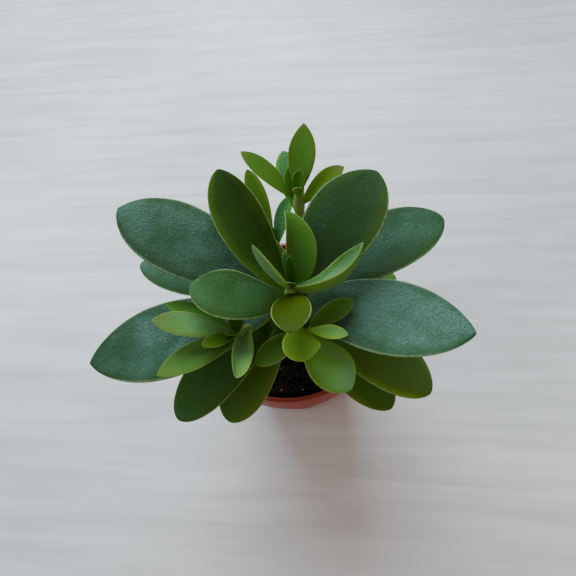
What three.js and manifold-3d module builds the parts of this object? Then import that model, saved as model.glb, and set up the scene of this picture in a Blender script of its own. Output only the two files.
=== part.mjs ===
// A young money maker jade plant in its small plastic nursery pot.
// Millimetres, +Z up. The origin is the centre of the pot's foot, on the surface that it stands on.
// The pot holds a plug of potting soil, and two leafy stems stand in holes in the soil.
// Every full-grown leaf is a piece of its own, seated on its stem. The tiny leaves of each bud are
// one piece with the stem that they grow from.
import * as THREE from "three";
import { mergeVertices } from "three/addons/utils/BufferGeometryUtils.js";
import Module from "manifold-3d";

const wasm = await Module();
wasm.setup();

// Driving dimensions of the pot.
const POT_HEIGHT = 48;
const RIM_RADIUS = 30;
const COLLAR_HEIGHT = 9;
const COLLAR_DRAFT = 0.5;
const COLLAR_STEP = 1.6;
const FOOT_RADIUS = 18;
const WALL = 1.3;
const FLOOR_THICKNESS = 1.6;
const POT_SIDES = 48;
const DRAIN_RADIUS = 2.2;
const DRAIN_HEIGHT = 3.5;
const DRAIN_COUNT = 6;
const DRAIN_SIDES = 14;

// Driving dimensions of the soil. The gap is the clearance kept between all neighbouring pieces.
// The waves and the grit of the soil's top are shares of its greatest lump.
const GAP = 0.3;
const SOIL_BELOW_RIM = 4;
const SOIL_CLEARANCE = GAP + 0.1;
const SOIL_NARROWER = 3.3;
const SOIL_LUMP = 0.9;
const SOIL_WAVES = 0.35;
const SOIL_GRIT = 0.6;
const SOIL_RINGS = 9;
const SOIL_SIDES = 40;
const SOIL_TOP = POT_HEIGHT - SOIL_BELOW_RIM;

// Driving dimensions of the stems. The swell is the raised ring at a joint, where leaves grow, and
// its length is a share of the stem's.
const PLANTED_DEPTH = 20;
const STEM_SIDES = 10;
const STEM_STEPS = 22;
const JOINT_SWELL = 0.4;
const JOINT_LENGTH = 0.035;
const TIP_ROUNDING = 0.6;

// Leaf form. A leaf is widest towards its tip, narrow where it clasps the stem, and fleshy. Its
// edges curve up like a shallow cup, and it bends down a little along its length, in degrees.
const LEAF_AROUND = 10;
const LEAF_ALONG = 12;
const LEAF_SPINE_STEPS = 40;
const LEAF_BASE_SHIFT = 0.08;
const LEAF_WIDEST = 0.65;
const LEAF_POINT = 0.7;
const LEAF_THICKNESS_SHARE = 0.11;
const LEAF_LEAST_THICKNESS = 0.7;
const LEAF_END_FULLNESS = 0.35;
const LEAF_CUP = 0.16;
const LEAF_BEND = -14;

const POT_COLOUR = new THREE.Color(0.52, 0.19, 0.12);
const SOIL_COLOUR = new THREE.Color(0.05, 0.04, 0.035);
const STEM_COLOUR = new THREE.Color(0.24, 0.33, 0.1);
const LEAF_COLOURS = {
  mature: new THREE.Color(0.07, 0.2, 0.13),
  middle: new THREE.Color(0.1, 0.26, 0.07),
  young: new THREE.Color(0.22, 0.42, 0.08),
};
const ROUGHNESS = { pot: 0.5, soil: 1, stem: 0.6, leaf: 0.55 };

const SAME_POINT = 1e-4;
const degrees = THREE.MathUtils.degToRad;
const vector = (x, y, z) => new THREE.Vector3(x, y, z);

// Solid helpers: a closed geometry becomes a solid for cutting and joining, and back.
function solidOf(geometry) {
  const bare = new THREE.BufferGeometry();
  bare.setAttribute("position", geometry.getAttribute("position"));
  if (geometry.index) bare.setIndex(geometry.index);
  const merged = mergeVertices(bare, SAME_POINT);
  const vertProperties = new Float32Array(merged.getAttribute("position").array);
  const triVerts = new Uint32Array(merged.index.array);
  return new wasm.Manifold(new wasm.Mesh({ numProp: 3, vertProperties, triVerts }));
}

function geometryOf(solid) {
  const mesh = solid.getMesh();
  const geometry = new THREE.BufferGeometry();
  geometry.setAttribute("position", new THREE.BufferAttribute(mesh.vertProperties, 3));
  geometry.setIndex(new THREE.BufferAttribute(mesh.triVerts, 1));
  geometry.computeVertexNormals();
  return geometry;
}

function lathe(profile, sides) {
  const points = profile.map(([radius, height]) => new THREE.Vector2(radius, height));
  return new THREE.LatheGeometry(points, sides).rotateX(Math.PI / 2);
}

// The pot: a thin tapered cup with a collar under its rim. It stands on its flat floor, and water
// drains at the corner of floor and wall, through notches.
const COLLAR_FOOT = POT_HEIGHT - COLLAR_HEIGHT;
const COLLAR_RADIUS = RIM_RADIUS - COLLAR_DRAFT;
const BODY_RADIUS = COLLAR_RADIUS - COLLAR_STEP;
const FOOT_BEVEL = 0.6;
const RIM_BEVEL = 0.4;

function potGeometry() {
  const profile = [
    [0, 0],
    [FOOT_RADIUS - FOOT_BEVEL, 0],
    [FOOT_RADIUS, FOOT_BEVEL],
    [BODY_RADIUS, COLLAR_FOOT - FOOT_BEVEL],
    [COLLAR_RADIUS, COLLAR_FOOT],
    [RIM_RADIUS, POT_HEIGHT - RIM_BEVEL],
    [RIM_RADIUS - RIM_BEVEL, POT_HEIGHT],
    [RIM_RADIUS - WALL + RIM_BEVEL, POT_HEIGHT],
    [RIM_RADIUS - WALL, POT_HEIGHT - RIM_BEVEL],
    [BODY_RADIUS - WALL, COLLAR_FOOT - WALL],
    [FOOT_RADIUS - WALL, FLOOR_THICKNESS],
    [0, FLOOR_THICKNESS],
  ];
  let pot = solidOf(lathe(profile, POT_SIDES));
  for (let i = 0; i < DRAIN_COUNT; i += 1) {
    const angle = (i / DRAIN_COUNT) * Math.PI * 2;
    const drill = new THREE.CylinderGeometry(DRAIN_RADIUS, DRAIN_RADIUS, 2 * DRAIN_HEIGHT, DRAIN_SIDES)
      .rotateX(Math.PI / 2)
      .translate(FOOT_RADIUS * Math.cos(angle), FOOT_RADIUS * Math.sin(angle), 0);
    pot = pot.subtract(solidOf(drill));
  }
  return geometryOf(pot);
}

// The soil: a plug that keeps clear of the pot, with a lumpy top and a plain hole for each stem.
// Where the turned plug meets itself, rounding gives both of its edges the same lump.
const tidy = (length) => Math.round(length * 1000) / 1000;

function lump(x, y) {
  const waves = Math.sin(x * 0.9 + 1.3) * Math.cos(y * 0.8 - 0.4) + Math.sin(x * 0.37 - y * 0.52);
  const scattered = Math.sin(x * 12.99 + y * 78.23) * 437.58;
  const grit = scattered - Math.floor(scattered) - 0.5;
  return SOIL_LUMP * (SOIL_WAVES * waves + SOIL_GRIT * grit);
}

function soilGeometry(stemSolids) {
  const keepOff = WALL + SOIL_CLEARANCE;
  const topRadius = RIM_RADIUS - SOIL_NARROWER;
  const edgeHeight = SOIL_TOP - SOIL_LUMP;
  const profile = [
    [0, FLOOR_THICKNESS + GAP],
    [FOOT_RADIUS - keepOff, FLOOR_THICKNESS + GAP],
    [BODY_RADIUS - keepOff, COLLAR_FOOT - WALL],
    [topRadius, edgeHeight],
  ];
  for (let i = SOIL_RINGS; i >= 0; i -= 1) {
    profile.push([((topRadius - SOIL_LUMP) * i) / SOIL_RINGS, SOIL_TOP]);
  }
  const geometry = lathe(profile, SOIL_SIDES);
  const position = geometry.getAttribute("position");
  for (let i = 0; i < position.count; i += 1) {
    if (position.getZ(i) < SOIL_TOP) continue;
    position.setZ(i, SOIL_TOP + lump(tidy(position.getX(i)), tidy(position.getY(i))));
  }
  let soil = solidOf(geometry);
  for (const stem of stemSolids) soil = soil.subtract(stem);
  return geometryOf(soil);
}

// A stem: a tapering tube along a curve, with a slight ring at each joint where leaves grow.
function stemGeometry(stem, extra) {
  const rod = new THREE.CylinderGeometry(1, 1, 1, STEM_SIDES, STEM_STEPS);
  const position = rod.getAttribute("position");
  const frames = stem.curve.computeFrenetFrames(STEM_STEPS, false);
  for (let i = 0; i < position.count; i += 1) {
    const share = THREE.MathUtils.clamp(position.getY(i) + 0.5, 0, 1);
    const step = Math.round(share * STEM_STEPS);
    let radius = THREE.MathUtils.lerp(stem.footRadius, stem.tipRadius, share) + extra;
    for (const joint of stem.joints) {
      radius += JOINT_SWELL * Math.exp(-(((share - joint) / JOINT_LENGTH) ** 2));
    }
    if (step === STEM_STEPS) radius *= TIP_ROUNDING;
    const end = step === 0 ? -extra : step === STEM_STEPS ? extra : 0;
    const at = stem.curve.getPointAt(share).addScaledVector(frames.tangents[step], end);
    at.addScaledVector(frames.normals[step], -position.getX(i) * radius);
    at.addScaledVector(frames.binormals[step], position.getZ(i) * radius);
    position.setXYZ(i, at.x, at.y, at.z);
  }
  return rod;
}

// Stems, each along a curve through a few points, from its foot to its bud. The points' heights
// are above the soil, and the two main stems start below it.
function stem(points, footRadius, tipRadius, joints) {
  const curve = new THREE.CatmullRomCurve3(points.map(([x, y, z]) => vector(x, y, SOIL_TOP + z)));
  return { curve, footRadius, tipRadius, joints };
}

const STEMS = {
  front: stem(
    [
      [0.5, 2, -PLANTED_DEPTH], [1, 1, 0], [1.3, -1.7, 15],
      [1.7, -7.5, 29], [2.2, -15.4, 39], [2.4, -16.4, 46],
    ],
    3, 1.7, [0.55, 0.63, 0.72, 0.8, 0.88, 0.96],
  ),
  left: stem(
    [[1.3, -2.5, 17], [-3, -7, 20], [-8.5, -14, 27], [-13.4, -22.3, 38.5]],
    1.7, 0.9, [0.75, 0.92],
  ),
  right: stem(
    [[1.3, -1.5, 14], [2.2, -9.5, 18], [3.2, -18.5, 27], [3.8, -24.6, 39.5]],
    1.7, 1.2, [0.75, 0.92],
  ),
  back: stem(
    [[6, 8, -PLANTED_DEPTH], [6.5, 9, 0], [7.8, 12.5, 13], [8.4, 15.2, 25], [8.8, 18, 41]],
    2.4, 1.3, [0.5, 0.65, 0.8, 0.93],
  ),
  twig: stem(
    [[7.6, 11.8, 9], [4.5, 14.5, 12], [1.5, 17.5, 15.5], [-0.9, 19.3, 20]],
    1.3, 0.9, [0.9],
  ),
};

// Leaves, stem by stem, from the bud down. Each is set by its place along its stem, the compass
// direction and the rise of its chord in degrees, and its length and width in millimetres. Some
// also bend, sweep sideways, roll about their length, cup more, or have a tip of their own.
const leaf = (name, at, azimuth, rise, length, width, more = {}) =>
  ({ name, at, azimuth, rise, length, width, ...more });

const LEAVES = {
  front: [
    leaf("front_1_left", 0.972, 171, 70, 20.5, 6.2, {
      bend: 40, roll: 34, cup: 0.6, age: "young", point: 0.95, widest: 0.55,
    }),
    leaf("front_1_right", 0.985, 10, 33, 23, 8.6, {
      bend: 60, sweep: 92, roll: -42, point: 0.9, widest: 0.5, cup: 0.8, age: "young",
    }),
    leaf("front_2_back", 0.94, 83, 44, 21.5, 10, { sweep: 82, roll: 40, age: "middle", point: 0.8 }),
    leaf("front_2_front", 0.965, 262, 30, 17.5, 9, { bend: -30, age: "young" }),
    leaf("front_3_left", 0.92, 171, 18, 25.7, 13.5, { sweep: -45, age: "middle" }),
    leaf("front_4_left", 0.885, 115, 34, 37.5, 12.6, { sweep: -30 }),
    leaf("front_4_right", 0.87, 38.5, 31, 37.5, 20, { sweep: 7 }),
    leaf("front_5_left", 0.83, 149, 22, 50, 20.5, { sweep: -10, point: 0.75, widest: 0.66 }),
    leaf("front_5_right", 0.81, 331, 8, 45.5, 20.8, { bend: -6, sweep: 11, point: 0.8, widest: 0.6 }),
    leaf("front_6_left", 0.73, 193, 4, 55, 22.3, { bend: 0, sweep: -16, point: 0.8 }),
    leaf("front_6_right", 0.75, 12.5, 12, 45.5, 19.3, { sweep: 4, point: 0.65 }),
    leaf("front_7_left", 0.68, 159, 6, 45.3, 15.5, { sweep: -6 }),
    leaf("front_7_right", 0.68, 311.5, -3, 45.5, 15.8, { sweep: 4, point: 0.6, widest: 0.68 }),
    leaf("front_8_left", 0.62, 219.5, -6, 46.2, 15.6, { age: "middle", point: 0.6, widest: 0.68 }),
    leaf("front_8_right", 0.64, -2, 2, 31, 13, { age: "middle" }),
    leaf("front_9_left", 0.57, 120, -5, 41, 14.5),
    leaf("front_9_right", 0.57, 300, -5, 42.8, 15.5, { point: 0.6 }),
    leaf("front_10_left", 0.54, 236.2, -5, 40, 14.5, { age: "middle", point: 0.55, widest: 0.7 }),
    leaf("front_10_right", 0.54, 36, -6, 38, 14),
  ],
  left: [
    leaf("left_1_inner", 0.985, 211, 34, 9.8, 3.8, { age: "young" }),
    leaf("left_1_outer", 0.8, 261, 24, 16.8, 5.6, {
      bend: -10, sweep: 12, roll: -40, cup: 0.8, age: "young", point: 0.5, widest: 0.6,
    }),
    leaf("left_2_upper", 0.91, 152, 16, 20, 6, { roll: 20, age: "middle", point: 0.85 }),
    leaf("left_2_middle", 0.955, 172.5, 28, 20.5, 6.5, { age: "young", point: 0.8 }),
    leaf("left_2_lower", 0.88, 207.5, 14, 22.6, 7.5, { bend: 0, age: "young", point: 0.85, widest: 0.6 }),
  ],
  right: [
    leaf("right_1_front", 0.985, 263, 24, 11, 8.8, { sweep: 60, roll: -10, age: "young", point: 0.55 }),
    leaf("right_1_right", 0.96, -25, 14, 10.7, 3.8, { age: "young", point: 0.85 }),
    leaf("right_2_right", 0.92, 16, 17, 13.8, 5.6, { age: "middle", point: 0.8 }),
    leaf("right_2_left", 0.88, 206, -2, 14.6, 6.5, { age: "middle" }),
    leaf("right_3_front", 0.82, 298, -8, 18.4, 11.3, { sweep: 20, age: "young", point: 0.75 }),
  ],
  back: [
    leaf("back_1_back", 0.985, 69.5, 46, 19.7, 8, { sweep: 12, age: "young", point: 0.95, widest: 0.6 }),
    leaf("back_1_left", 0.94, 140, 34, 22, 6.4, { age: "young", point: 0.8 }),
    leaf("back_1_right", 0.92, 12, 34, 17.2, 7.5, { age: "young", point: 0.8 }),
    leaf("back_2_back", 0.86, 96, 36, 20, 8, { age: "middle" }),
    leaf("back_3_right", 0.7, 12, 5, 24, 11),
  ],
  twig: [
    leaf("twig_1_left", 0.99, 104, 44, 24, 6.4, { age: "middle" }),
    leaf("twig_1_right", 0.82, 50, 50, 17.5, 5.5, { sweep: -25, cup: 0.4, age: "middle" }),
  ],
};

// The tiny leaves of each bud are fused to their stem.
const BUDS = {
  front: [
    leaf("bud", 0.985, 98, 60, 10, 2.4, { sweep: 20, cup: 0.4 }),
    leaf("bud", 0.99, 80, 70, 9.5, 2.4, { cup: 0.4 }),
    leaf("bud", 0.99, 250, 75, 5, 2.6),
  ],
  left: [leaf("bud", 0.97, 70, 50, 7, 4), leaf("bud", 0.98, 250, 64, 5, 3.4)],
  right: [leaf("bud", 0.98, 80, 65, 6, 3), leaf("bud", 0.98, 200, 70, 5, 2.6)],
  back: [
    leaf("bud", 0.95, 104, 50, 10, 4.6),
    leaf("bud", 0.97, 60, 66, 8.5, 4, { cup: 0.4 }),
    leaf("bud", 0.98, 265, 68, 6, 3),
  ],
  twig: [leaf("bud", 0.95, 75, 60, 5, 2.4)],
};

// A leaf's width at share t of its length, over its greatest width. It is widest at the share
// `widest`, and the higher `point` is, the more pointed is its tip.
function widthShare(leaf, t) {
  const widest = leaf.widest ?? LEAF_WIDEST;
  const point = leaf.point ?? LEAF_POINT;
  const shifted = (t + LEAF_BASE_SHIFT) / (1 + LEAF_BASE_SHIFT);
  const shape = (s) => s ** ((point * widest) / (1 - widest)) * (1 - s) ** point;
  return shape(shifted) / shape(widest);
}

// A leaf's thickness at share t of its length, over its greatest thickness.
function thicknessShare(t) {
  return (4 * t * (1 - t)) ** LEAF_END_FULLNESS;
}

// The leaf's frame at share t of its length: where its middle line is, and its three directions.
function leafFrame(leaf, t) {
  const rise = degrees(leaf.rise + (leaf.bend ?? LEAF_BEND) * (t - 0.5));
  const azimuth = degrees(leaf.azimuth + (leaf.sweep ?? 0) * (t - 0.5));
  const along = vector(Math.cos(azimuth), Math.sin(azimuth), 0).multiplyScalar(Math.cos(rise));
  along.z = Math.sin(rise);
  const across = vector(-Math.sin(azimuth), Math.cos(azimuth), 0);
  const facing = along.clone().cross(across);
  const roll = degrees(leaf.roll ?? 0);
  const rolled = across.clone().multiplyScalar(Math.cos(roll)).addScaledVector(facing, Math.sin(roll));
  return { along, across: rolled, facing: along.clone().cross(rolled) };
}

// The blade: a ball drawn out along the leaf's middle line, flattened and cupped.
function leafGeometry(stemOf, leaf, extra = 0) {
  const spine = [stemOf.curve.getPointAt(leaf.at)];
  const step = (leaf.length + extra) / LEAF_SPINE_STEPS;
  for (let i = 0; i < LEAF_SPINE_STEPS; i += 1) {
    const { along } = leafFrame(leaf, (i + 0.5) / LEAF_SPINE_STEPS);
    spine.push(spine[i].clone().addScaledVector(along, step));
  }
  const middle = new THREE.CatmullRomCurve3(spine);
  const thickness = Math.max(leaf.width * LEAF_THICKNESS_SHARE, LEAF_LEAST_THICKNESS);
  const blade = new THREE.SphereGeometry(1, LEAF_AROUND, LEAF_ALONG);
  const position = blade.getAttribute("position");
  for (let i = 0; i < position.count; i += 1) {
    const t = THREE.MathUtils.clamp((1 - position.getY(i)) / 2, 0, 1);
    const at = middle.getPoint(t);
    const ring = Math.sqrt(Math.max(0, 1 - position.getY(i) ** 2));
    if (ring > SAME_POINT) {
      const side = position.getX(i) / ring;
      const top = position.getZ(i) / ring;
      const { across, facing } = leafFrame(leaf, t);
      const half = (leaf.width / 2) * widthShare(leaf, t) + extra;
      const swell = (thickness / 2) * thicknessShare(t) + extra;
      at.addScaledVector(across, half * side);
      at.addScaledVector(facing, (leaf.cup ?? LEAF_CUP) * half * side * side + top * swell);
    }
    position.setXYZ(i, at.x, at.y, at.z);
  }
  return blade;
}

// Assembly.
const plant = new THREE.Group();

function add(name, geometry, colour, roughness) {
  const material = new THREE.MeshStandardMaterial({ color: colour, roughness, metalness: 0 });
  const mesh = new THREE.Mesh(geometry, material);
  mesh.name = name;
  plant.add(mesh);
}

const BRANCHES = { front: ["front", "left", "right"], back: ["back", "twig"] };

function grown(branches, extra) {
  const solids = branches.flatMap((name) => [
    solidOf(stemGeometry(STEMS[name], extra)),
    ...BUDS[name].map((bud) => solidOf(leafGeometry(STEMS[name], bud, extra))),
  ]);
  return solids.reduce((a, b) => a.add(b));
}

const seats = { front: grown(BRANCHES.front, GAP), back: grown(BRANCHES.back, GAP) };

add("pot", potGeometry(), POT_COLOUR, ROUGHNESS.pot);
add("soil", soilGeometry([seats.front, seats.back]), SOIL_COLOUR, ROUGHNESS.soil);
for (const [name, branches] of Object.entries(BRANCHES)) {
  add(`stem_${name}`, geometryOf(grown(branches, 0)), STEM_COLOUR, ROUGHNESS.stem);
  for (const branch of branches) {
    for (const leaf of LEAVES[branch]) {
      const blade = solidOf(leafGeometry(STEMS[branch], leaf)).subtract(seats[name]);
      const colour = LEAF_COLOURS[leaf.age ?? "mature"];
      add(`leaf_${leaf.name}`, geometryOf(blade), colour, ROUGHNESS.leaf);
    }
  }
}

export default plant;
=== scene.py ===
# A young money maker jade plant in its small plastic nursery pot, seen from above.
# Lengths are written in millimetres and scaled once, where each mesh is finished.
import random
from functools import reduce
from math import cos, exp, pi, radians, sin, sqrt

import bmesh
import bpy
from mathutils import Matrix, Vector, noise


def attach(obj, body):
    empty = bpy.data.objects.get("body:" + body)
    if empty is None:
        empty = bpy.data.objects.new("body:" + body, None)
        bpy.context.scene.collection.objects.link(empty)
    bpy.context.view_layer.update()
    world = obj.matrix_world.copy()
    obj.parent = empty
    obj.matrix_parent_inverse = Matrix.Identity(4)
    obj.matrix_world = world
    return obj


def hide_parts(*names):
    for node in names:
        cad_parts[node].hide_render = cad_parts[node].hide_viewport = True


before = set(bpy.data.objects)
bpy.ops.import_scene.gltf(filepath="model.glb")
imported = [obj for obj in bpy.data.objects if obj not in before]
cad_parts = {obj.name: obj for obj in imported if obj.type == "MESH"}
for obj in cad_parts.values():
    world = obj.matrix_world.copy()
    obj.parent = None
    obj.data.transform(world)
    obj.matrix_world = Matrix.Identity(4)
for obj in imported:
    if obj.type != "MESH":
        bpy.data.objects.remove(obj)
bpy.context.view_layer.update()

scene = bpy.context.scene
MM = 0.001

# The viewpoint. The plant is looked down on from in front, from about a hand's length away,
# with the camera turned a little, so that the table's grain and the pot lean slightly.
CAMERA_PLACE = Vector((1.3, -71.1, 177.4))
CAMERA_DOWN = radians(57.9)
CAMERA_TURN = radians(-10)
CAMERA_LENS = 27.5
CAMERA_SENSOR = 36
CAMERA_NEAREST = 10


def new_object(name, data):
    """An object with that data, linked to the scene."""
    made = bpy.data.objects.new(name, data)
    scene.collection.objects.link(made)
    return made


ahead = Vector((0, cos(CAMERA_DOWN), -sin(CAMERA_DOWN)))
level = Vector((1, 0, 0))
upright = level.cross(ahead)
right = level * cos(CAMERA_TURN) + upright * sin(CAMERA_TURN)
top = upright * cos(CAMERA_TURN) - level * sin(CAMERA_TURN)
camera_data = bpy.data.cameras.new("camera")
camera_data.lens = CAMERA_LENS
camera_data.sensor_width = CAMERA_SENSOR
camera_data.clip_start = CAMERA_NEAREST * MM
camera = new_object("camera", camera_data)
camera_axes = Matrix((right, top, -ahead)).transposed().to_4x4()
camera.matrix_world = Matrix.Translation(CAMERA_PLACE * MM) @ camera_axes
scene.camera = camera

# The light. A large window behind the plant gives soft daylight, a white wall on the left throws
# some of it back, and the warm pale room fills the shadows. Both lights face the pot's foot.
ROOM_COLOUR = (1.0, 0.75, 0.62)
ROOM_STRENGTH = 0.46


def give(socket, value):
    """An input is linked to a value that is a socket, and set to any other value."""
    if isinstance(value, bpy.types.NodeSocket):
        socket.id_data.links.new(value, socket)
    elif socket.type == "RGBA":
        socket.default_value = (*value, 1)
    else:
        socket.default_value = value


def feed(node, **values):
    """Each value goes to the node's setting of that name, or else to its input of that name."""
    for key, value in values.items():
        if hasattr(node, key):
            setattr(node, key, value)
        else:
            give(node.inputs[key.replace("_", " ")], value)
    return node


world = bpy.data.worlds.new("room")
scene.world = world
world.use_nodes = True
feed(world.node_tree.nodes["Background"], Color=ROOM_COLOUR, Strength=ROOM_STRENGTH)

# Each light's name, its place in millimetres, its size in metres, its power and its colour.
for name, place, size, power, colour in (
    ("window", (-42, 310, 385), 0.42, 4.6, (0.76, 0.92, 1.0)),
    ("wall", (-500, 60, 300), 0.6, 1.0, (0.76, 0.94, 1.0)),
):
    light_data = bpy.data.lights.new(name, "AREA")
    light_data.size = size
    light_data.energy = power
    light_data.color = colour
    light = new_object(name, light_data)
    light.location = Vector(place) * MM
    light.rotation_euler = (-Vector(place)).to_track_quat("-Z", "Y").to_euler()

# The table top: a plain pale surface of whitewashed wood, with a faint grain from left to right.
# The streaks of its grain are about 10 cm long and 8 mm wide, and its paler clouds are larger.
TABLE_HALF = 1500
STREAK_TURN = radians(-11)
STREAK_LENGTH = 100
STREAK_WIDTH = 8
STREAK_WEIGHT = 1.1

# The output that is used of each kind of shader node.
OUTPUTS = {
    "TexCoord": "Object", "Mapping": "Vector", "TexNoise": "Fac", "TexVoronoi": "Distance",
    "Attribute": "Fac", "SeparateXYZ": "Z", "MapRange": "Result", "Mix": "Result",
    "VectorMath": "Vector", "Bump": "Normal",
}


def new_material(name):
    """A material with a Principled BSDF, and its node tree and shader."""
    material = bpy.data.materials.new(name)
    material.use_nodes = True
    return material, material.node_tree, material.node_tree.nodes["Principled BSDF"]


def put(tree, kind, **values):
    """The output of a new shader node of that kind, which is fed the values."""
    return feed(tree.nodes.new(f"ShaderNode{kind}"), **values).outputs[OUTPUTS[kind]]


def mix(tree, share, a, b):
    """The colour at that share of the way from a to b."""
    return put(tree, "Mix", data_type="RGBA", Factor=share, A=a, B=b)


def calculate(tree, operation, *values):
    """The result of an operation on two or three values, each a number or a socket."""
    node = feed(tree.nodes.new("ShaderNodeMath"), operation=operation)
    for socket, value in zip(node.inputs, values):
        give(socket, value)
    return node.outputs["Value"]


def new_mesh(name, bm):
    """The bmesh, in millimetres, becomes a mesh in metres and is freed."""
    bmesh.ops.scale(bm, vec=(MM, MM, MM), verts=bm.verts)
    mesh = bpy.data.meshes.new(name)
    bm.to_mesh(mesh)
    bm.free()
    return mesh


table_wood, tree, shader = new_material("whitewashed_wood")
place = put(tree, "TexCoord")
stretched = put(tree, "Mapping", vector_type="TEXTURE", Vector=place, Rotation=(0, 0, STREAK_TURN),
                Scale=(STREAK_LENGTH * MM, STREAK_WIDTH * MM, 1))
streaks = put(tree, "TexNoise", Vector=stretched, Scale=1.0, Detail=7.0, Roughness=0.55,
              Distortion=0.8)
clouds = put(tree, "TexNoise", Vector=place, Scale=6.0, Detail=2.0)
both = calculate(tree, "MULTIPLY_ADD", streaks, STREAK_WEIGHT, clouds)
paleness = put(tree, "MapRange", Value=both, From_Min=0.65, From_Max=1.35)
feed(shader, Base_Color=mix(tree, paleness, (0.44, 0.445, 0.455), (0.765, 0.785, 0.82)),
     Roughness=0.75)

bm = bmesh.new()
bmesh.ops.create_grid(bm, x_segments=1, y_segments=1, size=TABLE_HALF)
table = new_object("table", new_mesh("table", bm))
table.data.materials.append(table_wood)

# The pot: a 6 cm nursery pot, moulded in one piece from thin terracotta-coloured plastic. It has
# a collar under its rim, a flat floor, and drain notches at the corner of floor and wall.
POT_HEIGHT = 48
POT_SIDES = 128
POT_EDGE_ROUNDING = 0.3
RIM_RADIUS = 30
COLLAR_HEIGHT = 9
COLLAR_FOOT = POT_HEIGHT - COLLAR_HEIGHT
COLLAR_RADIUS = 29.5
COLLAR_SLOPE = 0.6
BODY_RADIUS = 27.9
FOOT_RADIUS = 18
WALL = 1.3
FLOOR_THICKNESS = 1.6
ABOVE_DRAINS = 4.2
DRAIN_COUNT = 6
DRAIN_RADIUS = 2.2
DRAIN_HEIGHT = 3.5
DRAIN_SIDES = 24


def finish_piece(name, bm, material, slot, *nodes):
    """The bmesh, in millimetres, becomes a smooth piece that rides on the plant for those nodes."""
    bmesh.ops.recalc_face_normals(bm, faces=bm.faces)
    for face in bm.faces:
        face.smooth = True
    piece = new_object(name, new_mesh(name, bm))
    piece.data.materials.append(material)
    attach(piece, "root")
    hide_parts(*nodes)
    return piece


def spin_profile(profile, sides, rounding=0.0):
    """A closed body turned round the upright axis from (radius, height) points."""
    bm = bmesh.new()
    corners = [bm.verts.new((radius, 0, height)) for radius, height in profile]
    edges = [bm.edges.new(pair) for pair in zip(corners, corners[1:])]
    if rounding:
        bmesh.ops.bevel(bm, geom=corners[1:-1] + edges, offset=rounding, segments=3,
                        profile=0.5, affect="VERTICES", material=-1)
    bmesh.ops.spin(bm, geom=bm.verts[:] + bm.edges[:], axis=(0, 0, 1), cent=(0, 0, 0),
                   angle=2 * pi, steps=sides, use_merge=True)
    bmesh.ops.remove_doubles(bm, verts=bm.verts, dist=1e-4)
    return bm


pot_plastic, tree, shader = new_material("terracotta_plastic")
place = put(tree, "TexCoord")
mottle = put(tree, "TexNoise", Vector=place, Scale=90.0, Detail=4.0)
dust = put(tree, "TexNoise", Vector=place, Scale=35.0, Detail=6.0)
fine = put(tree, "TexNoise", Vector=place, Scale=900.0, Detail=2.0)
plastic = mix(tree, mottle, (0.22, 0.018, 0.007), (0.29, 0.032, 0.014))
dusty = put(tree, "MapRange", Value=dust, From_Min=0.5, From_Max=0.8, To_Max=0.08)
feed(shader, Base_Color=mix(tree, dusty, plastic, (0.34, 0.17, 0.12)),
     Roughness=put(tree, "MapRange", Value=dust, To_Min=0.42, To_Max=0.58),
     Normal=put(tree, "Bump", Height=fine, Strength=0.12, Distance=0.0002),
     Specular_IOR_Level=0.4)

taper = (BODY_RADIUS - FOOT_RADIUS) / COLLAR_FOOT
drain_top_radius = FOOT_RADIUS + taper * ABOVE_DRAINS
outside = [(0, 0), (FOOT_RADIUS, 0), (drain_top_radius, ABOVE_DRAINS),
           (BODY_RADIUS, COLLAR_FOOT - COLLAR_SLOPE), (COLLAR_RADIUS, COLLAR_FOOT),
           (RIM_RADIUS, POT_HEIGHT)]
inside = [(RIM_RADIUS - WALL, POT_HEIGHT), (BODY_RADIUS - WALL, COLLAR_FOOT - WALL),
          (drain_top_radius - WALL, ABOVE_DRAINS), (FOOT_RADIUS - WALL, FLOOR_THICKNESS),
          (0, FLOOR_THICKNESS)]
pot = finish_piece("pot", spin_profile(outside + inside, POT_SIDES, POT_EDGE_ROUNDING),
                   pot_plastic, "pot", "pot")

bm = bmesh.new()
for i in range(DRAIN_COUNT):
    angle = 2 * pi * i / DRAIN_COUNT
    spot = Matrix.Translation((FOOT_RADIUS * cos(angle), FOOT_RADIUS * sin(angle), 0))
    bmesh.ops.create_cone(bm, cap_ends=True, segments=DRAIN_SIDES, radius1=DRAIN_RADIUS,
                          radius2=DRAIN_RADIUS, depth=2 * DRAIN_HEIGHT, matrix=spot)
drill = new_object("drill", new_mesh("drill", bm))
cut = pot.modifiers.new("drains", "BOOLEAN")
cut.object = drill
cut.solver = "EXACT"
bpy.context.view_layer.update()
drained = bpy.data.meshes.new_from_object(pot.evaluated_get(bpy.context.evaluated_depsgraph_get()))
pot.modifiers.clear()
pot.data = drained
bpy.data.objects.remove(drill)

# The soil: dark, moist potting mix of peat and bark, filled in to just under the rim. Crumbs,
# a few bits of straw and a few grains of perlite lie loose on top.
SOIL_TOP = 44
SOIL_RADIUS = 26.7
SOIL_FLOOR = 1.9
SOIL_GAP = 0.4
SOIL_SIDES = 110
SOIL_RINGS = 34
SOIL_EDGE_DROP = 0.9
SOIL_EDGE_INSET = 0.6
SWELL_HEIGHT, SWELL_FINENESS = 0.9, 0.16
LUMP_HEIGHT, LUMP_FINENESS = 0.45, 0.6
CRUMB_COUNT = 520
CRUMB_MARGIN = 1.2
CRUMB_UNEVENNESS = (0.75, 1.2)
CRUMB_TILT = 0.5
CRUMB_LIFT = 0.25
random.seed(11)


def soil_height(x, y):
    """The height of the soil's lumpy top."""
    spot = Vector((x, y, 0))
    return (SOIL_TOP + SWELL_HEIGHT * noise.noise(spot * SWELL_FINENESS)
            + LUMP_HEIGHT * noise.noise(spot * LUMP_FINENESS))


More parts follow.
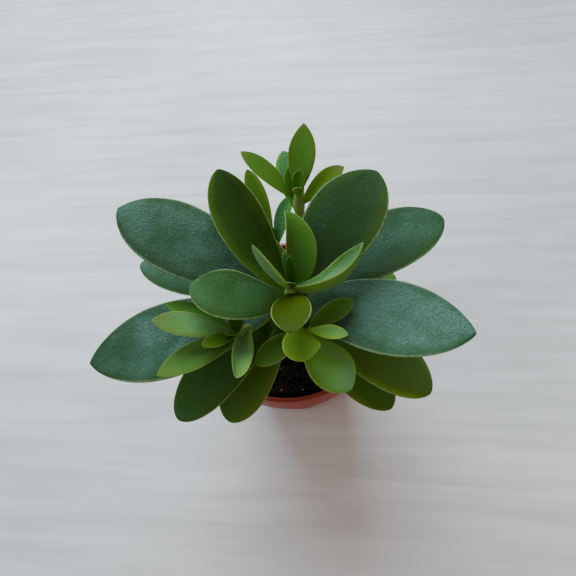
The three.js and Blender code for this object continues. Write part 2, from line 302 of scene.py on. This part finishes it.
def scatter(count, sizes, flatness, length=1.0, first_place=None):
    """Rough lumps that lie on the soil, in one bmesh, at random places but for the first."""
    bm = bmesh.new()
    for i in range(count):
        reach = (SOIL_RADIUS - CRUMB_MARGIN) * sqrt(random.random())
        angle = random.uniform(0, 2 * pi)
        size = random.uniform(*sizes)
        x, y = first_place if first_place and i == 0 else (reach * cos(angle), reach * sin(angle))
        lump = bmesh.ops.create_icosphere(bm, subdivisions=1, radius=1.0)["verts"]
        for vert in lump:
            vert.co *= random.uniform(*CRUMB_UNEVENNESS)
        turn = Matrix.Rotation(random.uniform(0, 2 * pi), 4, "Z")
        tilt = Matrix.Rotation(random.uniform(-CRUMB_TILT, CRUMB_TILT), 4, "X")
        shape = Matrix.Diagonal((size * length, size, size * flatness, 1))
        spot = Matrix.Translation((x, y, soil_height(x, y) + CRUMB_LIFT * size * flatness))
        bmesh.ops.transform(bm, matrix=spot @ turn @ tilt @ shape, verts=lump)
    return bm


soil_mix, tree, shader = new_material("moist_soil")
place = put(tree, "TexCoord")
patches = put(tree, "TexNoise", Vector=place, Scale=700.0, Detail=6.0, Roughness=0.7)
paleness = put(tree, "MapRange", Value=patches, From_Min=0.35, From_Max=0.8)
lumps = put(tree, "TexVoronoi", Vector=place, Scale=900.0)
feed(shader, Base_Color=mix(tree, paleness, (0.004, 0.0035, 0.003), (0.02, 0.014, 0.01)),
     Roughness=0.9, Normal=put(tree, "Bump", Height=lumps, Strength=0.7, Distance=0.0006),
     Specular_IOR_Level=0.15)

profile = [(0, SOIL_FLOOR), (FOOT_RADIUS - WALL - SOIL_GAP, SOIL_FLOOR),
           (BODY_RADIUS - WALL - SOIL_GAP, COLLAR_FOOT - WALL),
           (SOIL_RADIUS, SOIL_TOP - SOIL_EDGE_DROP)]
profile += [((SOIL_RADIUS - SOIL_EDGE_INSET) * i / SOIL_RINGS, SOIL_TOP)
            for i in range(SOIL_RINGS, -1, -1)]
bm = spin_profile(profile, SOIL_SIDES)
for vert in bm.verts:
    if vert.co.z > SOIL_TOP - SOIL_EDGE_DROP / 2:
        vert.co.z = soil_height(vert.co.x, vert.co.y)
finish_piece("soil", bm, soil_mix, "soil", "soil")
finish_piece("soil_crumbs", scatter(CRUMB_COUNT, (0.35, 1.3), 0.7), soil_mix, "soil", "soil")

# Each kind of bit has its dark and pale colours, its count, its least and greatest size, its
# flatness and length as shares of that size, and the place of the one that shows best.
for name, dark, pale, *bits in (
    ("soil_perlite", (0.2, 0.17, 0.13), (0.35, 0.3, 0.24), 9, (0.3, 0.5), 0.8, 1.0, (0.3, -25.3)),
    ("soil_bark", (0.13, 0.035, 0.02), (0.22, 0.07, 0.04), 6, (0.5, 0.8), 0.7, 1.4, (-6.2, -24.3)),
    ("soil_straw", (0.1, 0.06, 0.04), (0.2, 0.14, 0.09), 7, (0.15, 0.25), 0.6, 9.0, (-6.5, -17.6)),
):
    material, tree, shader = new_material(name)
    patches = put(tree, "TexNoise", Vector=put(tree, "TexCoord"), Scale=800.0, Detail=3.0)
    feed(shader, Base_Color=mix(tree, patches, dark, pale), Roughness=0.9)
    finish_piece(name, scatter(*bits), material, "soil", "soil")

# The stems: soft green stems, browner towards the soil, with a pale swollen ring at each joint,
# where a pair of leaves grows. The front stem carries two side shoots, and the back one a twig.
STEM_SAMPLES = 60
STEM_GREEN_FROM = 72
LINE_STEPS = 40
JOINT_SWELL = 0.4
JOINT_LENGTH = 0.035
JOINT_RING = 2.4
TIP_START = 0.97
TIP_NARROWING = 0.5

# Each stem's points, with their heights above the soil, its radius at the foot and at the tip,
# and the places of its joints, as shares of its length.
STEMS = {
    "front": ([(0.5, 2, -20), (1, 1, 0), (1.3, -1.7, 15), (1.7, -7.5, 29), (2.2, -15.4, 39),
               (2.4, -16.4, 46)], 3, 1.7, [0.55, 0.63, 0.72, 0.8, 0.88, 0.96]),
    "left": ([(1.3, -2.5, 17), (-3, -7, 20), (-8.5, -14, 27), (-13.4, -22.3, 38.5)],
             1.7, 0.9, [0.75, 0.92]),
    "right": ([(1.3, -1.5, 14), (2.2, -9.5, 18), (3.2, -18.5, 27), (3.8, -24.6, 39.5)],
              1.7, 1.2, [0.75, 0.92]),
    "back": ([(6, 8, -20), (6.5, 9, 0), (7.8, 12.5, 13), (8.4, 15.2, 25), (8.8, 18, 41)],
             2.4, 1.3, [0.5, 0.65, 0.8, 0.93]),
    "twig": ([(7.6, 11.8, 9), (4.5, 14.5, 12), (1.5, 17.5, 15.5), (-0.9, 19.3, 20)],
             1.3, 0.9, [0.9]),
}
STEM_NODES = {"front": "stem_front", "left": "stem_front", "right": "stem_front",
              "back": "stem_back", "twig": "stem_back"}


def smooth_line(points):
    """Close points on the smooth curve through the points, whose heights are above the soil."""
    through = [Vector((x, y, SOIL_TOP + z)) for x, y, z in points]
    through = [2 * through[0] - through[1], *through, 2 * through[-1] - through[-2]]
    dense = []
    for a, b, c, d in zip(through, through[1:], through[2:], through[3:]):
        before, between, after = (sqrt((q - p).length) for p, q in ((a, b), (b, c), (c, d)))
        leave = ((b - a) / before - (c - a) / (before + between) + (c - b) / between) * between
        arrive = ((c - b) / between - (d - b) / (between + after) + (d - c) / after) * between
        for i in range(LINE_STEPS):
            t = i / LINE_STEPS
            dense.append(b * (2 * t**3 - 3 * t**2 + 1) + leave * (t**3 - 2 * t**2 + t)
                         + c * (3 * t**2 - 2 * t**3) + arrive * (t**3 - t**2))
    dense.append(through[-2])
    return dense


def along(line, share):
    """The point at that share of the line's length."""
    steps = [(q - p).length for p, q in zip(line, line[1:])]
    left = share * sum(steps)
    for p, q, step in zip(line, line[1:], steps):
        if left <= step:
            return p.lerp(q, left / step)
        left -= step
    return line[-1]


stem_skin, tree, shader = new_material("stem_skin")
place = put(tree, "TexCoord")
rise = put(tree, "MapRange", Value=put(tree, "SeparateXYZ", Vector=place),
           From_Min=SOIL_TOP * MM, From_Max=STEM_GREEN_FROM * MM)
patches = put(tree, "TexNoise", Vector=place, Scale=260.0, Detail=4.0)
greenness = calculate(tree, "MULTIPLY_ADD", patches, 0.6, rise)
skin = mix(tree, greenness, (0.17, 0.14, 0.055), (0.15, 0.28, 0.05))
ring = put(tree, "Attribute", attribute_name="joint")
fine = put(tree, "TexNoise", Vector=place, Scale=1500.0, Detail=3.0)
feed(shader, Base_Color=mix(tree, ring, skin, (0.17, 0.28, 0.06)), Roughness=0.55,
     Normal=put(tree, "Bump", Height=fine, Strength=0.35, Distance=0.0003),
     Specular_IOR_Level=0.15)

LINES = {name: smooth_line(points) for name, (points, *_) in STEMS.items()}

for name, (_, foot_radius, tip_radius, joints) in STEMS.items():
    line = LINES[name]
    curve = bpy.data.curves.new("tube", "CURVE")
    curve.dimensions = "3D"
    curve.bevel_depth = 1.0
    curve.bevel_resolution = 6
    curve.use_fill_caps = True
    spline = curve.splines.new("POLY")
    spline.points.add(STEM_SAMPLES)
    for i, knot in enumerate(spline.points):
        share = i / STEM_SAMPLES
        swell = sum(exp(-(((share - joint) / JOINT_LENGTH) ** 2)) for joint in joints)
        radius = foot_radius + (tip_radius - foot_radius) * share + JOINT_SWELL * swell
        into_tip = max(0.0, (share - TIP_START) / (1 - TIP_START))
        knot.co = (*along(line, share), 1)
        knot.radius = radius * (1 - TIP_NARROWING * into_tip**2)
    tube = bpy.data.objects.new("tube", curve)
    bm = bmesh.new()
    bm.from_mesh(tube.to_mesh())
    bmesh.ops.remove_doubles(bm, verts=bm.verts, dist=1e-4)
    tube.to_mesh_clear()
    bpy.data.objects.remove(tube)
    joint_layer = bm.verts.layers.float.new("joint")
    centres = [along(line, joint) for joint in joints]
    for vert in bm.verts:
        far = min((vert.co - centre).length for centre in centres)
        vert[joint_layer] = exp(-((far / JOINT_RING) ** 4))
    finish_piece(f"stem_{name}", bm, stem_skin, "stem", STEM_NODES[name])

# The leaves: fleshy blades like small paddles, in pairs that cross at each joint. The full-grown
# ones are deep green with a bluish bloom of tiny pale dots, and all have a thin pale margin.
# The bloom's colour also paints the bluish sheen of the sky on the leaves, which are given
# almost no real gloss.
LEAF_SIDES = 24
LEAF_ROWS = 30
LEAF_STEPS = 40
LEAF_BASE_SHIFT = 0.08
LEAF_THICKNESS_SHARE = 0.11
LEAF_LEAST_THICKNESS = 0.7
LEAF_END_FULLNESS = 0.35
LEAF_WAVE = 0.012
LEAF_WAVE_FINENESS = 0.16
POLE_RING = 1e-4
# Drift also changes the green along the blade by this share, painting shade at its darker end.
TONE_DRIFT = 0.35
UNDERSIDE_RIPER = 0.4
UNDERSIDE_PALER = 1.3
UNDERSIDE_BLOOM_AND_SHEEN = 0.5
# Painted sheen: on the upper face, the side turned away from the window keeps only this share of
# the frost and sheen.
SHEEN_SHARE_AWAY_FROM_WINDOW = 0.45
SKIN_ATTRIBUTES = ("across", "along", "tone", "ripe", "bloom", "blush")


def leaf_skin_group():
    """The colour, roughness and relief of a leaf's skin, from the attributes in skin_values."""
    group = bpy.data.node_groups.new("leaf_skin", "ShaderNodeTree")
    for in_out, kind, names in (
        ("INPUT", "Color", ("Middle", "Rim", "Margin", "Bloom", "Dot", "Blush")),
        ("INPUT", "Float", ("Dots",)),
        ("OUTPUT", "Color", ("Color",)),
        ("OUTPUT", "Float", ("Roughness", "Height")),
    ):
        for name in names:
            group.interface.new_socket(name, in_out=in_out, socket_type=f"NodeSocket{kind}")
    given = group.nodes.new("NodeGroupInput").outputs
    result = group.nodes.new("NodeGroupOutput")

    def ranged(value, low, high, to_low=0.0, to_high=1.0):
        return put(group, "MapRange", interpolation_type="SMOOTHSTEP", Value=value,
                   From_Min=low, From_Max=high, To_Min=to_low, To_Max=to_high)

    def total(a, b):
        return calculate(group, "ADD", a, b)

    def product(*factors):
        return reduce(lambda a, b: calculate(group, "MULTIPLY", a, b), factors)

    def larger(a, b):
        return calculate(group, "MAXIMUM", a, b)

    place = put(group, "TexCoord")
    across, length, tone, ripe, bloom, blush = (
        put(group, "Attribute", attribute_name=name) for name in SKIN_ATTRIBUTES)
    outward = calculate(group, "ABSOLUTE", across)
    patches = put(group, "TexNoise", Vector=place, Scale=110.0, Detail=3.0)
    drifts = put(group, "TexNoise", Vector=place, Scale=75.0, Detail=2.0)

    # The green, which is deep in the middle and yellower at the rim and the base.
    wander = calculate(group, "MULTIPLY_ADD", patches, 0.7, -0.35)
    edges = larger(ranged(total(outward, wander), 0.3, 1.0),
                   ranged(total(length, wander), 0.5, 0.1))
    rim_ripe = calculate(group, "MINIMUM", calculate(group, "MULTIPLY_ADD", ripe, 3.0, 0.15), 1.0)
    yellowed = larger(product(edges, rim_ripe), ripe)
    tinted = mix(group, yellowed, given["Middle"], given["Rim"])
    green = put(group, "VectorMath", operation="SCALE", Vector=tinted, Scale=tone)

    # The bloom, which is thicker in drifts and on the skin's fine pebbles, and thin at the rim. Its
    # colour also paints the bluish sheen of the sky on the skin.
    pebbles = put(group, "TexNoise", Vector=place, Scale=1900.0, Detail=2.0, Roughness=0.7)
    frost_and_sheen = product(bloom, ranged(drifts, 0.35, 0.62, 0.45, 1.15),
                    ranged(edges, 0.4, 1.0, 1.0, 0.5), ranged(pebbles, 0.35, 0.65, 0.75, 1.25))
    bloomed_and_sheened = mix(group, frost_and_sheen, green, given["Bloom"])

    # The pale dots: fine pores where there is bloom, and a few larger specks in patches.
    cells = put(group, "TexVoronoi", Vector=place, Scale=2300.0)
    pores = product(ranged(cells, 0.4, 0.1), total(frost_and_sheen, 0.05), ranged(drifts, 0.4, 0.6, 0.3, 1.0))
    spots = put(group, "TexVoronoi", Vector=place, Scale=520.0)
    specks = product(ranged(spots, 0.11, 0.04, 0.0, 1.3), ranged(patches, 0.4, 0.6, 0.1, 1.0),
                     ranged(frost_and_sheen, 0.0, 0.3, 0.3, 1.0))
    dotted = mix(group, product(larger(pores, specks), given["Dots"]), bloomed_and_sheened, given["Dot"])

    # The blush at the rim and the tip, and the broken pale line of the margin, which it covers.
    blush_place = larger(ranged(outward, 0.7, 0.97), ranged(length, 0.72, 1.0))
    blushed = mix(group, product(blush, blush_place), dotted, given["Blush"])
    fuzz = put(group, "TexNoise", Vector=place, Scale=1500.0, Detail=2.0)
    edge = product(ranged(outward, 0.92, 0.99), ranged(fuzz, 0.35, 0.65, 0.35, 0.7),
                   calculate(group, "SUBTRACT", 1.0, blush))

    wrinkles = put(group, "TexNoise", Vector=place, Scale=850.0, Detail=3.0, Roughness=0.6,
                   Distortion=0.8)
    feed(result, Color=mix(group, edge, blushed, given["Margin"]),
         Roughness=ranged(patches, 0.3, 0.7, 0.5, 0.62),
         Height=product(wrinkles, total(frost_and_sheen, 0.25)))
    return group


leaf_skin = leaf_skin_group()


def leaf_material(age, relief, see_through, **skin_inputs):
    """One age of leaf: how pebbled it is, how much light it passes on, its colours and dots."""
    material, tree, shader = new_material(f"leaf_{age}")
    skin = feed(tree.nodes.new("ShaderNodeGroup"), node_tree=leaf_skin, **skin_inputs)
    pebbled = put(tree, "Bump", Height=skin.outputs["Height"], Strength=relief, Distance=0.0006)
    feed(shader, Base_Color=skin.outputs["Color"], Roughness=skin.outputs["Roughness"],
         Normal=pebbled, Specular_IOR_Level=0.04, Subsurface_Weight=see_through,
         Subsurface_Radius=(0.6, 1.0, 0.2), Subsurface_Scale=0.0012)
    return material


# Each age's bloom colour is also painted sheen: the bluish sky reflected on its leaves.
LEAF_MATERIALS = {
    "mature": leaf_material(
        "mature", relief=0.7, see_through=0.05, Dots=0.5,
        Middle=(0.013, 0.044, 0.006), Rim=(0.062, 0.125, 0.012), Margin=(0.22, 0.34, 0.16),
        Bloom=(0.076, 0.17, 0.126), Dot=(0.17, 0.33, 0.25), Blush=(0.1, 0.03, 0.01)),
    "middle": leaf_material(
        "middle", relief=0.5, see_through=0.1, Dots=0.3,
        Middle=(0.03, 0.1, 0.008), Rim=(0.078, 0.13, 0.017), Margin=(0.26, 0.38, 0.15),
        Bloom=(0.07, 0.2, 0.085), Dot=(0.2, 0.36, 0.22), Blush=(0.12, 0.05, 0.015)),
    "young": leaf_material(
        "young", relief=0.3, see_through=0.18, Dots=0.16,
        Middle=(0.06, 0.16, 0.01), Rim=(0.1, 0.185, 0.006), Margin=(0.33, 0.42, 0.17),
        Bloom=(0.13, 0.3, 0.13), Dot=(0.3, 0.42, 0.25), Blush=(0.15, 0.06, 0.03)),
}


def leaf_directions(t, azimuth, rise, bend, sweep, roll):
    """The directions along, across and out of the face of a blade, at share t of its length."""
    climb = radians(rise + bend * (t - 0.5))
    compass = radians(azimuth + sweep * (t - 0.5))
    onward = Vector((cos(compass) * cos(climb), sin(compass) * cos(climb), sin(climb)))
    flat = Vector((-sin(compass), cos(compass), 0))
    facing = onward.cross(flat)
    across = flat * cos(radians(roll)) + facing * sin(radians(roll))
    return onward, across, onward.cross(across)


def width_share(t, widest, point):
    """The outline of a blade: its width at share t of its length, over its greatest width."""
    at_t = (t + LEAF_BASE_SHIFT) / (1 + LEAF_BASE_SHIFT)
    base = point * widest / (1 - widest)
    width, greatest = (share**base * (1 - share) ** point for share in (at_t, widest))
    return width / greatest


def skin_values(t, side, face, to_window, tone=1.0, ripe=0.0, bloom=0.0, drift=0.0, sunny=0.0,
                blush=0.0):
    """The skin's attributes at one spot of a blade, in the order of SKIN_ATTRIBUTES.

    The spot is at share t of the length. Side goes from -1 to 1 across the blade, and face is
    negative on the underside. To_window is how far the spot's side is turned to the window.
    Tone is how light the green is, partly the leaf's own green and partly painted light and
    shade for the light that reaches the leaf. Ripe is how yellow it is, blush how brown the rim
    is, and the bloom value how frosted the skin is, together with the painted bluish sheen of
    the sky on it, which on the upper face is fuller on the side turned to the window. Drift
    makes the blade lighter and more frosted towards its tip, its darker end being painted
    shade. The argument after drift paints light on one side of the blade and shade on the other.
    """
    # Painted light on one side of the blade and painted shade on the other.
    lit = 1 + sunny * side
    # Painted shade at the darker end of the blade, along its length.
    onward = drift * (t - 0.5)
    tone *= lit * (1 + TONE_DRIFT * onward)
    bloom *= lit * (1 + onward)
    if face >= 0:
        # Painted sheen: on the upper face the frost is fuller on the side turned to the window.
        bloom *= SHEEN_SHARE_AWAY_FROM_WINDOW + (1 - SHEEN_SHARE_AWAY_FROM_WINDOW) * to_window
    else:
        tone *= UNDERSIDE_PALER
        ripe = min(ripe + UNDERSIDE_RIPER, 1.0)
        bloom *= UNDERSIDE_BLOOM_AND_SHEEN
    return side, t, tone, ripe, bloom, blush


def leaf_mesh(stem, at, azimuth, rise, length, width, bend=-14, sweep=0, roll=0, cup=0.16,
              widest=0.65, point=0.7, **look):
    """A fleshy blade that grows from the stem, as a closed bmesh with its skin's attributes."""
    pose = (azimuth, rise, bend, sweep, roll)
    spine = [along(LINES[stem], at)]
    for i in range(LEAF_STEPS):
        onward = leaf_directions((i + 0.5) / LEAF_STEPS, *pose)[0]
        spine.append(spine[i] + onward * (length / LEAF_STEPS))
    spine.append(spine[-1])
    thickness = max(width * LEAF_THICKNESS_SHARE, LEAF_LEAST_THICKNESS)
    bm = bmesh.new()
    bmesh.ops.create_uvsphere(bm, u_segments=LEAF_SIDES, v_segments=LEAF_ROWS, radius=1.0)
    layers = [bm.verts.layers.float.new(name) for name in SKIN_ATTRIBUTES]
    for vert in bm.verts:
        t = min(max((1 - vert.co.z) / 2, 0.0), 1.0)
        ring = sqrt(max(0.0, 1 - vert.co.z**2))
        at_pole = ring <= POLE_RING
        side, face = (0.0, 0.0) if at_pole else (vert.co.x / ring, vert.co.y / ring)
        _, across, facing = leaf_directions(t, *pose)
        half = width / 2 * width_share(t, widest, point)
        thick = thickness / 2 * (4 * t * (1 - t)) ** LEAF_END_FULLNESS
        step = int(t * LEAF_STEPS)
        spot = spine[step].lerp(spine[step + 1], t * LEAF_STEPS - step) + across * (half * side)
        wave = 0.0 if at_pole else LEAF_WAVE * width * noise.noise(spot * LEAF_WAVE_FINENESS)
        vert.co = spot + facing * (cup * half * side**2 + face * thick + wave)
        # How far this side of the blade is turned to the window, which the painted sheen follows.
        to_window = 0.5 + 0.5 * across.y * side
        for layer, value in zip(layers, skin_values(t, side, face, to_window, **look)):
            vert[layer] = value
    return bm


def grow(name, stem, age, *shape, **more):
    """One leaf of that age on the stem, as a piece of its own."""
    leaf = finish_piece(f"leaf_{name}", leaf_mesh(stem, *shape, **more), LEAF_MATERIALS[age],
                        f"leaf_{age}", f"leaf_{name}")
    smooth = leaf.modifiers.new("smooth", "SUBSURF")
    smooth.levels = smooth.render_levels = 1


# The front stem's leaves, from the bud down. Each has its place along the stem, then the compass
# direction and rise of its chord in degrees, its length and its width. Here and below, each
# leaf's tone is partly its own green and partly painted light and shade, for the light that
# reaches it where it sits.
grow("front_1_left", "front", "young", 0.972, 171, 70, 20.5, 6.2, bend=40, roll=34, cup=0.6,
     widest=0.55, point=0.95, tone=2.4, bloom=4.0)
grow("front_1_right", "front", "young", 0.985, 10, 33, 23, 8.6, bend=60, sweep=92, roll=-42,
     cup=0.8, widest=0.5, point=0.9, tone=0.9, bloom=0.85)
grow("front_2_back", "front", "middle", 0.94, 83, 44, 21.5, 10, sweep=82, roll=40, point=0.8,
     tone=1.7, ripe=0.12, bloom=0.35, sunny=-0.25)
grow("front_2_front", "front", "young", 0.965, 262, 30, 17.5, 9, bend=-30, tone=0.36, ripe=1.0)
grow("front_3_left", "front", "middle", 0.92, 171, 18, 25.7, 13.5, sweep=-45,
     tone=0.43, ripe=0.06, bloom=0.28, drift=2.0)
grow("front_4_left", "front", "mature", 0.885, 115, 34, 37.5, 12.6, sweep=-30,
     tone=0.96, ripe=0.14, sunny=0.38)
grow("front_4_right", "front", "mature", 0.87, 38.5, 31, 37.5, 20, sweep=7,
     tone=0.58, ripe=0.14, bloom=0.15, drift=2.0)
grow("front_5_left", "front", "mature", 0.83, 149, 22, 50, 20.5, sweep=-10, widest=0.66, point=0.75,
     tone=0.8, bloom=0.62, drift=0.1, sunny=-0.3)
grow("front_5_right", "front", "mature", 0.81, 331, 8, 45.5, 20.8, bend=-6, sweep=11, widest=0.6,
     point=0.8, bloom=1.2, drift=0.1)
grow("front_6_left", "front", "mature", 0.73, 193, 4, 55, 22.3, bend=0, sweep=-16, point=0.8,
     tone=0.85, bloom=1.9, drift=-1.8)
grow("front_6_right", "front", "mature", 0.75, 12.5, 12, 45.5, 19.3, sweep=4, point=0.65,
     tone=0.9, bloom=0.47, drift=0.2)
grow("front_7_left", "front", "mature", 0.68, 159, 6, 45.3, 15.5, sweep=-6, bloom=1.0)
grow("front_7_right", "front", "mature", 0.68, 311.5, -3, 45.5, 15.8, sweep=4, widest=0.68,
     point=0.6, tone=2.5, ripe=0.5, bloom=0.25)
grow("front_8_left", "front", "middle", 0.62, 219.5, -6, 46.2, 15.6, widest=0.68, point=0.6,
     tone=0.85, ripe=0.1, bloom=0.35, drift=1.0)
grow("front_8_right", "front", "middle", 0.64, -2, 2, 31, 13, tone=3.6, ripe=0.5, bloom=1.4)
grow("front_9_left", "front", "mature", 0.57, 120, -5, 41, 14.5, bloom=0.3)
grow("front_9_right", "front", "mature", 0.57, 300, -5, 42.8, 15.5, point=0.6,
     tone=1.7, ripe=0.5, bloom=0.2)
grow("front_10_left", "front", "middle", 0.54, 236.2, -5, 40, 14.5, widest=0.7, point=0.55,
     tone=1.6, ripe=0.5, bloom=0.5)
grow("front_10_right", "front", "mature", 0.54, 36, -6, 38, 14, bloom=0.3)

# The small leaves of the front stem's two side shoots, again from the bud down. They are paler
# than the big ones, and those of the left shoot are flushed brown at the rim.
grow("left_1_inner", "left", "young", 0.985, 211, 34, 9.8, 3.8, tone=0.6, blush=0.1)
grow("left_1_outer", "left", "young", 0.8, 261, 24, 16.8, 5.6, bend=-10, sweep=12, roll=-40,
     cup=0.8, widest=0.6, point=0.5, tone=2.9, bloom=1.6, drift=0.2, sunny=-0.2, blush=0.3)
grow("left_2_upper", "left", "middle", 0.91, 152, 16, 20, 6, roll=20, point=0.85,
     tone=1.9, bloom=0.2, blush=0.1)
grow("left_2_middle", "left", "young", 0.955, 172.5, 28, 20.5, 6.5, point=0.8,
     tone=1.1, bloom=1.0, blush=0.35)
grow("left_2_lower", "left", "young", 0.88, 207.5, 14, 22.6, 7.5, bend=0, widest=0.6, point=0.85,
     tone=0.8, bloom=0.3, drift=1.5, blush=0.15)
grow("right_1_front", "right", "young", 0.985, 263, 24, 11, 8.8, sweep=60, roll=-10, point=0.55,
     tone=1.4, ripe=0.4, bloom=0.2)
grow("right_1_right", "right", "young", 0.96, -25, 14, 10.7, 3.8, point=0.85,
     tone=3.0, ripe=0.3, bloom=0.7)
grow("right_2_right", "right", "middle", 0.92, 16, 17, 13.8, 5.6, point=0.8, tone=0.95, ripe=0.15)
grow("right_2_left", "right", "middle", 0.88, 206, -2, 14.6, 6.5, ripe=0.2)
grow("right_3_front", "right", "young", 0.82, 298, -8, 18.4, 11.3, sweep=20, point=0.75,
     tone=2.2, bloom=0.7, drift=1.3, sunny=0.45)

# The leaves of the back stem and of its twig. Those at the top of the stem stand up like a small
# crown, flushed brown at their tips.
grow("back_1_back", "back", "young", 0.985, 69.5, 46, 19.7, 8, sweep=12, widest=0.6, point=0.95,
     tone=1.15, bloom=0.2, blush=0.25)
grow("back_1_left", "back", "young", 0.94, 140, 34, 22, 6.4, point=0.8, bloom=0.1, blush=0.15)
grow("back_1_right", "back", "young", 0.92, 12, 34, 17.2, 7.5, point=0.8,
     tone=0.7, ripe=0.5, blush=0.35)
grow("back_2_back", "back", "middle", 0.86, 96, 36, 20, 8, tone=4.0, bloom=1.6)
grow("back_3_right", "back", "mature", 0.7, 12, 5, 24, 11, bloom=0.3)
grow("twig_1_left", "twig", "middle", 0.99, 104, 44, 24, 6.4, tone=1.6, ripe=0.3)
grow("twig_1_right", "twig", "middle", 0.82, 50, 50, 17.5, 5.5, sweep=-25, cup=0.4,
     tone=2.4, bloom=1.15)

# The buds: two or three tiny leaves, still closed together, at the tip of each stem, and a single
# one on the twig. Their numbers mean the same as those of the leaves above.
for stem, leaves in (
    ("front", [(0.985, 98, 60, 10, 2.4, {"sweep": 20, "cup": 0.4, "tone": 1.3, "bloom": 0.8}),
               (0.99, 80, 70, 9.5, 2.4, {"cup": 0.4}),
               (0.99, 250, 75, 5, 2.6, {})]),
    ("left", [(0.97, 70, 50, 7, 4, {}), (0.98, 250, 64, 5, 3.4, {})]),
    ("right", [(0.98, 80, 65, 6, 3, {}), (0.98, 200, 70, 5, 2.6, {})]),
    ("back", [(0.95, 104, 50, 10, 4.6, {"tone": 1.6}),
              (0.97, 60, 66, 8.5, 4, {"cup": 0.4, "tone": 1.6}),
              (0.98, 265, 68, 6, 3, {"tone": 1.8})]),
    ("twig", [(0.95, 75, 60, 5, 2.4, {})]),
):
    bud = bmesh.new()
    for *shape, more in leaves:
        tiny = leaf_mesh(stem, *shape, **more)
        part = bpy.data.meshes.new("part")
        tiny.to_mesh(part)
        tiny.free()
        bud.from_mesh(part)
        bpy.data.meshes.remove(part)
    finish_piece(f"bud_{stem}", bud, LEAF_MATERIALS["middle"], "stem", STEM_NODES[stem])
